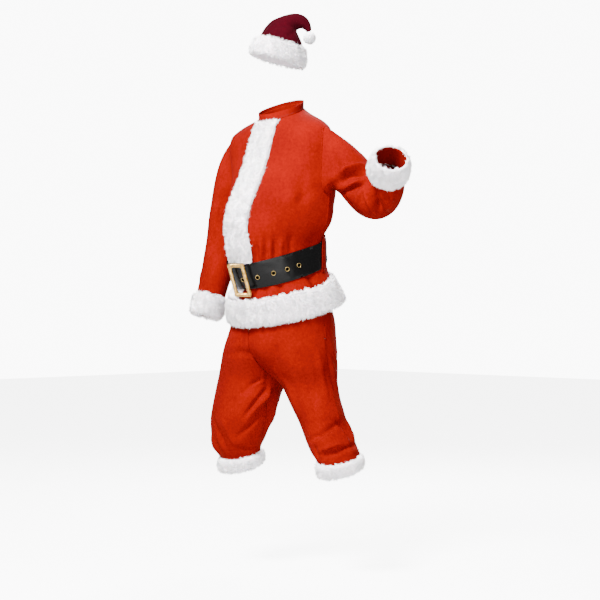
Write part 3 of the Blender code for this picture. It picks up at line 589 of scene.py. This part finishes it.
# %% Trousers
RISE_REACH, RISE_SHARE = 0.9 * MM, 0.1
TROUSERS_RIGHT = [
    (-5, 14, (-107, 161, -772), (-37, 162, -771), (21, 145, -776), (73, 131, -788)),
    (-9, 9, (60, 107, -822), (-3, 67, -845), (-34, 92, -872), (-70, 117, -902)),
    (7, 7, (50, 100, -835), (-22, 76, -864), (-60, 111, -894)),
    (-8, 8, (40, 87, -850), (-16, 55, -889), (-38, 88, -936), (-76, 107, -990)),
    (7, 8, (30, 71, -865), (-17, 44, -910), (-43, 79, -953), (-69, 96, -990)),
    (-8, 9, (-8, 6, -884), (-33, 38, -944), (-66, 81, -1011), (-109, 105, -1055)),
    (-8, 8, (-14, 37, -897), (-36, 28, -952), (-59, 18, -1007), (-80, 16, -1049)),
    (7, 9, (-16, 12, -904), (-38, 2, -953), (-75, -16, -1016)),
    (-6, 11, (-194, 136, -1001), (-172, 128, -1054), (-157, 115, -1098)),
    (6, 10, (-148, 141, -992), (-134, 118, -1053), (-121, 93, -1094)),
    (-5, 8, (-124, 99, -1090), (-109, 68, -1098), (-98, 31, -1089)),
    (-4, 12, (-28, 157, -695), (-31, 164, -744), (-52, 157, -788)),
    (-5, 10, (-200, 115, -1066), (-196, 98, -1114)),
    (5, 10, (-222, 112, -1050), (-214, 92, -1108)),
    (-5, 10, (-240, 90, -1064), (-230, 76, -1110)),
    (-5, 10, (-265, 45, -1060), (-252, 40, -1104)),
    (-5, 10, (-270, 0, -1060), (-255, 4, -1104)),
    (-5, 12, (-200, -60, -1040), (-196, -48, -1080)),
    (-5, 12, (-130, -60, -1036), (-150, -46, -1080)),
    (-7, 12, (-40, -90, -860), (-110, -95, -930), (-170, -70, -990)),
    (6, 12, (-30, -80, -900), (-100, -90, -970), (-150, -70, -1030)),
    (-6, 14, (-150, -100, -800), (-70, -110, -850), (-30, -90, -880)),
    (-6, 14, (-260, 10, -820), (-262, 0, -900), (-268, 10, -980)),
    (-5, 14, (-230, -70, -860), (-220, -74, -940), (-215, -66, -1020)),
]
TROUSERS_LEFT = [
    (-5, 14, (104, 134, -742), (93, 128, -782), (80, 110, -815)),
    (-5, 13, (188, -17, -760), (193, -31, -826), (194, -54, -899)),
    (5, 12, (186, 22, -766), (187, 5, -841), (198, -12, -923)),
    (-8, 9, (224, -32, -988), (232, -52, -1015), (246, -66, -1048)),
    (7, 10, (205, -90, -992), (232, -96, -1020), (246, -90, -1060)),
    (-8, 8, (218, 18, -1103), (249, -6, -1089), (262, -40, -1078), (237, -109, -1070)),
    (7, 8, (189, 25, -1091), (231, 13, -1073), (250, -19, -1061)),
    (-7, 10, (146, 28, -1055), (201, 28, -1038), (220, -8, -1013), (223, -52, -992)),
    (-5, 15, (145, 64, -841), (169, 33, -922), (189, 26, -1003)),
    (-5, 8, (175, 30, -1072), (183, 20, -1112)),
    (-5, 9, (140, 10, -1078), (146, 4, -1112)),
    (-5, 9, (210, 28, -1082), (210, 18, -1112)),
    (-5, 10, (130, -60, -1060), (140, -58, -1110)),
    (-5, 10, (180, -130, -1060), (186, -122, -1108)),
    (5, 14, (60, 110, -835), (85, 85, -920), (105, 60, -990)),
    (-6, 14, (40, -110, -860), (110, -128, -930), (180, -130, -990)),
    (6, 13, (50, -90, -900), (120, -125, -970), (180, -135, -1030)),
    (-6, 14, (170, -110, -790), (90, -120, -840), (40, -100, -870)),
    (-3, 8, (182, -8, -722), (185, -45, -770), (186, -70, -820)),
]
LEGS = (("left", LEG_LEFT, TROUSERS_LEFT), ("right", LEG_RIGHT, TROUSERS_RIGHT))
for side, bone, creases in LEGS:
    panels = [f"trouser_{side}_front", f"trouser_{side}_back"]
    for node, levels in zip(panels, (3, 2)):
        made = cloth(node, bone, creases, levels, sewn_with=panels)
        points = places(made)
        at_rise = abs(points[:, 0]) < RISE_REACH
        points[at_rise, 0] *= RISE_SHARE
        put_places(made, points)
cloth("trouser_waistband", TORSO, levels=1, lumps=0)

# %% [markdown]
# The hat's cone is soft. It flops back over its fur band, and folds slant from band to bend.

# %% Hat
HAT_CREASES = [
    (-4, 9, (-50, 40, 270), (-25, 20, 300), (5, 0, 320)),
    (3, 8, (-30, 50, 268), (-8, 26, 296), (20, 0, 318)),
    (-3.5, 8, (0, 55, 266), (15, 26, 290), (35, 0, 312)),
    (-3, 8, (45, 40, 264), (48, 10, 290), (52, -16, 314)),
    (-3, 10, (-60, -20, 270), (-30, -30, 300), (5, -36, 318)),
]
cloth("hat_crown", HAT_BONE, HAT_CREASES, 2, crimson_fleece, lumps=2.0, lump_size=40)

# %% [markdown]
# Plush is made of thousands of strands. Each one is a three-sided needle of three triangles, which
# is little enough to have tens of thousands. They stand on the band's solid, a little shrunk so
# that their tips end where the pile ends, and lean together in tufts, as a worn pile does.

# %% Places for strands
def random_spots_on(made, count, keep):
    """Points spread evenly over the faces that have a kept corner, with the way they face."""
    mesh = made.data
    mesh.calc_loop_triangles()
    corners = np.empty(len(mesh.loop_triangles) * 3, dtype=np.int32)
    mesh.loop_triangles.foreach_get("vertices", corners)
    corners = corners.reshape(-1, 3)
    corners = corners[keep[corners].any(axis=1)]
    points, facing = places(made), normals(made)
    a, b, c = (points[corners[:, index]] for index in range(3))
    area = np.linalg.norm(np.cross(b - a, c - a), axis=1)
    chosen = rng.choice(len(corners), count, p=area / area.sum())
    u, v = rng.random(count), rng.random(count)
    over = u + v > 1
    u[over], v[over] = 1 - u[over], 1 - v[over]
    weights = np.stack([1 - u - v, u, v], axis=1)[:, :, None]
    up = (facing[corners[chosen]] * weights).sum(axis=1)
    up /= np.linalg.norm(up, axis=1)[:, None]
    return (points[corners[chosen]] * weights).sum(axis=1), up


# %% Tufts
STRANDS_IN_TUFT, TUFT_SIZE, TUFT_LEAN, TUFT_DRAW = 26, 16, 1.1, 0.6


def tuft_lean(points):
    """The way the pile leans at each point: slow noise, so that neighbours lean alike."""
    return np.array([noise.noise_vector(Vector(point) / (TUFT_SIZE * MM)) for point in points])


def tufted(root, tip):
    """Every strand's tip is drawn to the tip of the strand that leads its tuft."""
    leaders = rng.choice(len(root), len(root) // STRANDS_IN_TUFT, replace=False)
    tree = kdtree.KDTree(len(leaders))
    for index, leader in enumerate(leaders):
        tree.insert(root[leader], index)
    tree.balance()
    own = np.array([leaders[tree.find(point)[1]] for point in root])
    return tip + (tip[own] - tip) * TUFT_DRAW * rng.uniform(0.4, 1.0, (len(root), 1))


# %% Strands
PILE, STRAND_HALF, STRAND_ROOT = 12.5, 0.55, 1.2
UPRIGHT, LIE = 0.8, (0, 0, -0.3)


def grow_pile(made, name, count, keep, length=PILE, wild=0.3):
    """Stand this many strands on the piece, as one mesh."""
    root, up = random_spots_on(made, count, keep)
    lean = tuft_lean(root) * TUFT_LEAN + np.array(LIE) + rng.normal(0, wild, (count, 3))
    lean -= up * (lean * up).sum(axis=1)[:, None]
    way = up * UPRIGHT + lean
    way /= np.linalg.norm(way, axis=1)[:, None]
    long = length * MM * rng.uniform(0.6, 1.15, count)
    side = np.cross(way, rng.normal(0, 1, (count, 3)))
    side /= np.linalg.norm(side, axis=1)[:, None]
    other = np.cross(way, side)
    half = STRAND_HALF * MM * rng.uniform(0.7, 1.2, count)
    base = root - up * STRAND_ROOT * MM
    ring = [base + (side * math.cos(turn) + other * math.sin(turn)) * half[:, None]
            for turn in (0, 2 * math.pi / 3, 4 * math.pi / 3)]
    tip = tufted(root, base + way * (long + STRAND_ROOT * MM)[:, None])
    strands = np.stack([*ring, tip], axis=1).reshape(-1, 3)
    first = np.arange(count)[:, None] * 4
    faces = np.concatenate([first + np.array(face) for face in ((0, 1, 3), (1, 2, 3), (2, 0, 3))])
    pile = new_piece(name, strands, faces.tolist())
    tone = rng.uniform(0.75, 1.0, count)
    # Painted shade: roots stand at 0.35 of the strand's tone, so they lean to the grey depth
    # colour; the tone differs at random from strand to strand.
    depth = np.stack([tone * 0.35, tone * 0.35, tone * 0.35, tone], axis=1)
    pile.data.attributes.new("pile", "FLOAT", "POINT").data.foreach_set("value", depth.ravel())
    finish_piece(pile, white_plush)
    return pile


# %% Plush bands
SHRINK, DENT = 5.0, 2.2
SHOWS_ABOVE = -0.35
BELT_MARGIN = 6 * MM


def fur_band(node, count, bone, away=None):
    """Dress one band: its solid as the backing, drawn in a little, and its pile."""
    made = take_copy(node, node + "_backing")
    sharp_edges(made, BAND_EDGE_DEGREES)
    apply(made, "SUBSURF", levels=2, render_levels=2)
    points, facing = places(made), normals(made)
    shows = (facing * way_out(points, bone)).sum(axis=1) > SHOWS_ABOVE
    if away is not None:
        shows &= away(points)
    dents = lumps_at(points, 24) + lumps_at(points, 60)
    put_places(made, points - facing * (shows * (SHRINK + DENT * dents) * MM)[:, None])
    # The backing has no pile number, so it is painted all in the grey depth shade of the plush.
    finish_piece(made, white_plush)
    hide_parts(node)
    dressed[node] = made
    grow_pile(made, node + "_pile", count, shows)
    print(node, "strands:", count)


def off_the_belt(points):
    """Where the belt doesn't press on the plush."""
    belt_tree = tree_of("belt")
    return np.array([belt_tree.find_nearest(Vector(point))[3] > BELT_MARGIN for point in points])


fur_band("hem_fur", 60000, TORSO)
fur_band("front_fur", 42000, TORSO, away=off_the_belt)
fur_band("cuff_fur_left", 24000, ARM_LEFT)
fur_band("cuff_fur_right", 20000, ARM_RIGHT)
fur_band("leg_fur_left", 16000, LEG_LEFT)
fur_band("leg_fur_right", 16000, LEG_RIGHT)
fur_band("hat_fur", 22000, spots((0, 14, 100), (0, 14, 400)))

# %% [markdown]
# The sleeve's red cloth is turned up inside each cuff, behind the plush. The faces of the band that
# look at the arm are kept, and a thin wall is raised on them.

# %% Cuff linings
LINING_GAP, LINING_THICK, LINING_SET_BACK = 0.4 * MM, 1.2 * MM, 3.5 * MM
INNER_SIDE = -0.5
for side, bone in (("left", ARM_LEFT), ("right", ARM_RIGHT)):
    band = f"cuff_fur_{side}"
    lining = take_copy(band, f"cuff_lining_{side}")
    centres = np.array([face.center[:] for face in lining.data.polygons])
    choose_none("FACE")
    for face, outward in zip(lining.data.polygons, way_out(centres, bone)):
        face.select = face.normal.dot(Vector(outward)) > INNER_SIDE
    bpy.ops.object.mode_set(mode="EDIT")
    bpy.ops.mesh.delete(type="FACE")
    bpy.ops.object.mode_set(mode="OBJECT")
    apply(lining, "SUBSURF", levels=2, render_levels=2)
    towards_hand = (bone[-1] - bone[-2]) / np.linalg.norm(bone[-1] - bone[-2])
    put_places(lining, places(lining) + normals(lining) * LINING_GAP
               - towards_hand * LINING_SET_BACK)
    apply(lining, "SOLIDIFY", thickness=LINING_THICK, offset=1)
    finish_piece(lining, red_fleece)

# %% Pompom
pompom = take_copy("pompom", "pompom_core")
apply(pompom, "SUBSURF", levels=1, render_levels=1)
# The core is painted all in the grey depth shade of the plush.
finish_piece(pompom, white_plush)
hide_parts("pompom")
everywhere = np.ones(len(pompom.data.vertices), dtype=bool)
grow_pile(pompom, "pompom_pile", 9000, everywhere, length=8, wild=0.5)

# %% [markdown]
# The belt is a flat strip one turn long, with its tail lapped over its start. Its edges are cut
# square and softened, and the vinyl buckles a little where it bends round the hips.

# %% Belt
EDGE_BEVEL = 0.8 * MM
DENTED_FROM, DENTED_OVER, DENT_DEPTH = -560 * MM, 100 * MM, 3.5 * MM
belt = take_copy("belt", "belt_strip")
sharp_edges(belt, BAND_EDGE_DEGREES)
apply(belt, "BEVEL", width=EDGE_BEVEL, segments=2, limit_method="ANGLE",
      angle_limit=math.radians(BAND_EDGE_DEGREES))
apply(belt, "SUBSURF", levels=2, render_levels=2)
points = places(belt)
share_up = np.clip((points[:, 2] - DENTED_FROM) / DENTED_OVER, 0, 1)
dents = np.minimum(lumps_at(points, 22, (1, 1, 1.5)), 0) * share_up * DENT_DEPTH
put_places(belt, points + normals(belt) * dents[:, None])
finish_piece(belt, black_vinyl)
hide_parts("belt")
print("deepest dent in the belt:", round(-dents.min() / MM, 1), "mm")

# %% Belt loops
for side in ("left", "right"):
    cloth(f"belt_loop_{side}", TORSO, levels=2, lumps=0.3, lump_size=15)

# %% [markdown]
# The buckle is cast in one: a flat frame with a rope laid round it and a square boss at each
# corner. A rope is a cylinder with three lobes, twisted along its length. The frame is already
# there, so its three own directions are measured, and the ropes are laid along its bars.

# %% Directions of a flat piece
def directions(node):
    """The middle of a flat piece, its longest way, its next longest and the way it faces."""
    points = np.array([point.co[:] for point in frame["nodes"][node].data.vertices])
    points = np.unique(points.round(6), axis=0)
    _, _, ways = np.linalg.svd(points - points.mean(axis=0), full_matrices=False)
    along = (points - points.mean(axis=0)) @ ways.T
    middle = points.mean(axis=0) + ((along.max(axis=0) + along.min(axis=0)) / 2) @ ways
    ways = [Vector(way) for way in ways]
    if ways[2].dot(Vector((middle[0], middle[1], 0))) < 0:
        ways[2].negate()
    return Vector(middle), ways, along.max(axis=0) - along.min(axis=0)


def set_into(made, middle, right_way, out_way, up_way):
    """Lay a piece, modelled upright at the origin and facing -Y, into its place."""
    turn = Matrix((right_way, -out_way, up_way)).transposed().to_4x4()
    made.matrix_world = Matrix.Translation(middle) @ turn
    choose(made)
    bpy.ops.object.transform_apply(location=True, rotation=True, scale=True)


# %% The frame that is there
middle, (up_way, right_way, out_way), (frame_high, frame_wide, frame_thick) = directions("buckle")
if up_way.z < 0:
    up_way.negate()
if right_way.x < 0:
    right_way.negate()
print("buckle:", round(frame_wide / MM), "x", round(frame_high / MM), "mm")

# %% Ropes and bosses
BAR, ROPE_RADIUS, LOBE, TWIST_EVERY, ROPE_CUT = 13 * MM, 4.4 * MM, 0.16, 17 * MM, 1.6 * MM
BOSS_SHARE, BOSS_BEVEL, ROPE_END = 0.72, 0.2, 0.6


def rope(name, length):
    """A twisted cylinder of three lobes, upright at the origin."""
    bpy.ops.mesh.primitive_cylinder_add(vertices=24, radius=ROPE_RADIUS, depth=length)
    made = bpy.context.object
    made.name = name
    cut_across(made, 2, int(length / ROPE_CUT))
    for point in made.data.vertices:
        lobes = 1 + LOBE * math.cos(3 * math.atan2(point.co.y, point.co.x))
        point.co.x, point.co.y = point.co.x * lobes, point.co.y * lobes
    apply(made, "SIMPLE_DEFORM", deform_method="TWIST", deform_axis="Z",
          angle=2 * math.pi * length / TWIST_EVERY)
    return made


def boss(name, size):
    """A cube with rounded edges at the origin."""
    bpy.ops.mesh.primitive_cube_add(size=size)
    made = bpy.context.object
    made.name = name
    bpy.ops.object.mode_set(mode="EDIT")
    bpy.ops.mesh.select_all(action="SELECT")
    bpy.ops.mesh.bevel(offset=size * BOSS_BEVEL, segments=3, affect="EDGES")
    bpy.ops.object.mode_set(mode="OBJECT")
    return made


# %% Roped frame
half_wide, half_high = (frame_wide - BAR) / 2, (frame_high - BAR) / 2
proud = out_way * frame_thick * 0.3
for number, sign in enumerate((-1, 1), 1):
    upright = rope(f"buckle_upright_{number}", 2 * half_high - BAR * ROPE_END)
    set_into(upright, middle + right_way * half_wide * sign + proud, right_way, out_way, up_way)
    level = rope(f"buckle_level_{number}", 2 * half_wide - BAR * ROPE_END)
    set_into(level, middle + up_way * half_high * sign + proud, up_way, out_way, right_way)
    metal = [upright, level]
    for side in (-1, 1):
        corner = boss(f"buckle_boss_{number}_{(side + 3) // 2}", BAR * BOSS_SHARE)
        place = middle + up_way * half_high * sign + right_way * half_wide * side + proud * 0.8
        set_into(corner, place, right_way, out_way, up_way)
        metal.append(corner)
    for made in metal:
        finish_piece(made, pale_gold)
frame["nodes"]["buckle"].data.materials.clear()
frame["nodes"]["buckle"].data.materials.append(pale_gold)

# %% [markdown]
# An eyelet is a rolled brass ring pressed through the belt. A thin torus is set round each hole,
# and a black disc inside it is painted shade, standing for the dark depth of the hole.

# %% Eyelets
RING_RADIUS, RING_WIRE, HOLE_RADIUS, HOLE_DEPTH = 6.7 * MM, 0.95 * MM, 5.8 * MM, 0.3 * MM
# Painted shade: a matt black disc stands for the dark depth inside each hole.
hole_shade, _, _ = new_material("hole_shade", Base_Color=linear("#010101"), Roughness=1.0,
                               Specular_IOR_Level=0.0)


def set_round_piece(name, place, out_way):
    """Name the new round primitive and lay it flat into its place."""
    made = bpy.context.object
    made.name = name
    bpy.ops.object.transform_apply(location=False, rotation=True, scale=False)
    level_way = Vector((0, 0, 1)).cross(-out_way).normalized()
    set_into(made, place, level_way, out_way, level_way.cross(-out_way))
    return made


facing_front = (math.pi / 2, 0, 0)
for node in [name for name in frame["nodes"] if name.startswith("eyelet")]:
    middle, (_, _, out_way), _ = directions(node)
    bpy.ops.mesh.primitive_torus_add(major_radius=RING_RADIUS, minor_radius=RING_WIRE,
                                     major_segments=40, minor_segments=12, rotation=facing_front)
    ring = set_round_piece(node + "_ring", middle, out_way)
    finish_piece(ring, antique_brass)
    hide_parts(node)
    bpy.ops.mesh.primitive_circle_add(vertices=32, radius=HOLE_RADIUS, fill_type="NGON",
                                      rotation=facing_front)
    hole = set_round_piece(node + "_hole", middle - out_way * HOLE_DEPTH, out_way)
    finish_piece(hole, hole_shade)

# %% [markdown]
# The thread is a shade deeper than the fleece. A stitch is a small lozenge, modelled once, and laid
# along the seam again and again on the cloth's own surface.

# %% Stitches
red_thread, _, _ = new_material("red_thread", Base_Color=linear("#4A0300"), Roughness=0.7)


def one_stitch(long, wide):
    """One lozenge of thread at the origin, lying along X."""
    bpy.ops.mesh.primitive_uv_sphere_add(segments=8, ring_count=6, radius=0.5)
    made = bpy.context.object
    made.scale = (long * MM, wide * MM, wide * 0.8 * MM)
    bpy.ops.object.transform_apply(location=False, rotation=False, scale=True)
    return made


def place_along(path, steps, at):
    """The place on a path at this length or share of it."""
    return Vector([np.interp(at, steps, path[:, axis]) for axis in range(3)])


def on_cloth(nodes, point):
    """The nearest point of these pieces' cloth, and the way it faces."""
    found = []
    for node in nodes:
        _, near, facing, _ = dressed[node].closest_point_on_mesh(point)
        found.append(((near - point).length, near.copy(), facing.copy()))
    return min(found, key=lambda each: each[0])[1:]


def stitch_row(name, nodes, path, long=3.4, gap=1.6, wide=0.8, across=False):
    """Stitches of this length and gap along a path on these pieces, or a tight bar across it."""
    stitch = one_stitch(long, wide)
    template, faces = places(stitch), [tuple(face.vertices) for face in stitch.data.polygons]
    bpy.data.objects.remove(stitch)
    steps = [0.0]
    for start, end in zip(path, path[1:]):
        steps.append(steps[-1] + float(np.linalg.norm(end - start)))
    pitch = (wide * 1.3 if across else long + gap) * MM
    points, all_faces = [], []
    for count in range(int(steps[-1] / pitch)):
        here = place_along(path, steps, (count + 0.5) * pitch)
        there = place_along(path, steps, (count + 0.7) * pitch)
        place, facing = on_cloth(nodes, here)
        run = (there - here).normalized()
        run = (run - facing * run.dot(facing)).normalized()
        if across:
            run = facing.cross(run)
        turn = np.array([run, facing.cross(run), facing])
        first = len(points) * len(template)
        points.append(template @ turn + np.array(place + facing * wide * 0.2 * MM))
        all_faces += [tuple(first + point for point in face) for face in faces]
    made = new_piece(name, np.concatenate(points), all_faces)
    finish_piece(made, red_thread)
    print(name, "stitches:", len(points))


# %% [markdown]
# The trousers have a pocket in each side seam. Its opening is a folded edge of cloth that stands a
# little off the seam, stitched alongside and closed at both ends by a bar of tight stitches.

# %% Folded edge
EDGE_WIDE, EDGE_THICK, EDGE_SUNK, EDGE_ROUND = 4.5, 2.4, 0.4, 0.5


def folded_edge(name, nodes, path):
    """A strip along a path on the cloth, modelled as a cube that is cut lengthwise and bevelled."""
    bpy.ops.mesh.primitive_cube_add(size=1, location=(0.5, 0, 0.5))
    made = bpy.context.object
    made.name = name
    bpy.ops.object.transform_apply(location=True, rotation=False, scale=False)
    cut_across(made, 0, 15)
    steps = np.linspace(0, 1, len(path))
    run = Vector(path[-1] - path[0]).normalized()
    for point in made.data.vertices:
        share, side, rise = point.co
        place, facing = on_cloth(nodes, place_along(path, steps, share))
        point.co = (place + facing.cross(run).normalized() * side * EDGE_WIDE * MM
                    + facing * (rise * EDGE_THICK - EDGE_SUNK) * MM)
    apply(made, "BEVEL", width=EDGE_ROUND * MM, segments=3, limit_method="ANGLE",
          angle_limit=math.radians(50))
    finish_piece(made, red_fleece)


# %% Pocket openings
POCKET_LEFT = spots((180, -8, -648), (182, -10, -668), (184, -12, -692), (186, -15, -722))
POCKET_RIGHT = POCKET_LEFT * (-1, 1, 1) + np.array((0, -8, 0)) * MM
for side, path in (("left", POCKET_LEFT), ("right", POCKET_RIGHT)):
    panels = [f"trouser_{side}_front", f"trouser_{side}_back"]
    folded_edge(f"pocket_edge_{side}", panels, path)
    ahead_of_it = path + np.array((0, -7, 0)) * MM
    stitch_row(f"pocket_stitches_{side}", panels, ahead_of_it)
    for end, name in ((path[0], "top"), (path[-1], "bottom")):
        tack = np.array([end + np.array((0, 4, 0)) * MM, end - np.array((0, 8, 0)) * MM])
        stitch_row(f"pocket_tack_{name}_{side}", panels, tack, 3.0, 0, 0.8, across=True)

# %% Stitches on the neckband
NECK_RADIUS, NECK_SLOPE = 80 * MM, 30 * MM
turns = np.linspace(0, 2 * math.pi, 73)
round_neck = np.stack([NECK_RADIUS * np.sin(turns), -8 * MM - NECK_RADIUS * np.cos(turns),
                       NECK_SLOPE - NECK_SLOPE * np.cos(turns)], axis=1)
stitch_row("neckband_stitches", ["neckband"], round_neck)

# %% Stitches on the belt loops
FROM_END, LEVEL_BAND = 6 * MM, 4 * MM
for side in ("left", "right"):
    node = f"belt_loop_{side}"
    points = places(dressed[node])
    low, high = points[:, 2].min(), points[:, 2].max()
    for end, height in (("top", high - FROM_END), ("bottom", low + FROM_END)):
        level = points[abs(points[:, 2] - height) < LEVEL_BAND]
        near, far = level[level[:, 1].argmin()], level[level[:, 1].argmax()]
        stitch_row(f"{node}_tack_{end}", [node], np.array([near, far]), 3.0, 0, 0.8, across=True)

# %% [markdown]
# A plain pale studio: a floor that reaches far behind, a broad light high on the left, a soft one
# low on the right, one from behind and a pale sky. Floor and sky are bright for the eye alone, or
# they would light the suit flat from all sides.

# %% Floor
FLOOR_SIZE, FLOOR_HEIGHT, FLOOR_SEEN = 24, -1514 * MM, 6.0
bpy.ops.mesh.primitive_plane_add(size=FLOOR_SIZE, location=(0, 0, FLOOR_HEIGHT))
floor = bpy.context.object
floor.name = "floor"
paint, tree, surface = new_material("pale_floor", Base_Color=linear("#C8C8C8"), Roughness=0.9,
                                    Emission_Color=linear("#FFFFFF"))
seen = add_node(tree, "ShaderNodeLightPath").outputs["Is Camera Ray"]
tree.links.new(ranged(tree, seen, 0, 1, To_Max=FLOOR_SEEN), surface.inputs["Emission Strength"])
floor.data.materials.append(paint)
print("floor at:", FLOOR_HEIGHT, "m")

# %% [markdown]
# The eye stands level with the hips, 45 degrees round to the wearer's right, and the lights are
# placed from there: "ahead" is the way it looks and "right" the way to its right.

# %% Lights
right = Vector((math.cos(math.radians(45)), math.sin(math.radians(45)), 0))
ahead = Vector((-right.y, right.x, 0))
centre = right * 57 * MM + Vector((0, 0, -596 * MM))


def soft_light(name, place, size, power):
    """A square area light of this size in metres and power in watts, turned to the suit."""
    lamp = bpy.data.lights.new(name, "AREA")
    lamp.energy, lamp.size = power, size
    made = bpy.data.objects.new(name, lamp)
    bpy.context.scene.collection.objects.link(made)
    made.location = place
    made.rotation_euler = (centre - place).to_track_quat("-Z", "Y").to_euler()
    print(name, "light:", power, "W from", round((place - centre).length, 1), "m")


soft_light("key", centre - ahead * 2.5 - right * 1.3 + Vector((0, 0, 2.7)), 1.0, 1080)
soft_light("fill", centre - ahead * 3.4 + right * 0.6 + Vector((0, 0, 0.3)), 2.6, 210)
soft_light("back", centre + ahead * 2.6 + right * 0.6 + Vector((0, 0, 2.2)), 2.5, 620)

# %% Sky
SKY_LIGHT, SKY_SEEN = 0.5, 10.0
sky = bpy.data.worlds.new("pale_sky")
sky.use_nodes = True
tree = sky.node_tree
seen = add_node(tree, "ShaderNodeLightPath").outputs["Is Camera Ray"]
tree.links.new(ranged(tree, seen, 0, 1, To_Min=SKY_LIGHT, To_Max=SKY_SEEN),
               tree.nodes["Background"].inputs["Strength"])
tree.nodes["Background"].inputs["Color"].default_value = linear("#FFFFFF")
bpy.context.scene.world = sky
print("sky:", SKY_LIGHT, "on the suit,", SKY_SEEN, "for the eye")

# %% Camera
CAMERA_FAR = 5.5
camera = bpy.data.cameras.new("camera")
camera.lens, camera.sensor_width = 98.5, 36
viewer = bpy.data.objects.new("camera", camera)
bpy.context.scene.collection.objects.link(viewer)
viewer.location = centre - ahead * CAMERA_FAR
viewer.rotation_euler = (math.pi / 2, 0, math.radians(45))
bpy.context.scene.camera = viewer
print("camera:", camera.lens, "mm lens,", CAMERA_FAR, "m away")

# %% Sizes and end
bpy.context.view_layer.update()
total = sum(len(face.vertices) - 2 for made in bpy.data.objects if made.type == "MESH"
            for face in made.data.polygons)
print("triangles in all:", total)
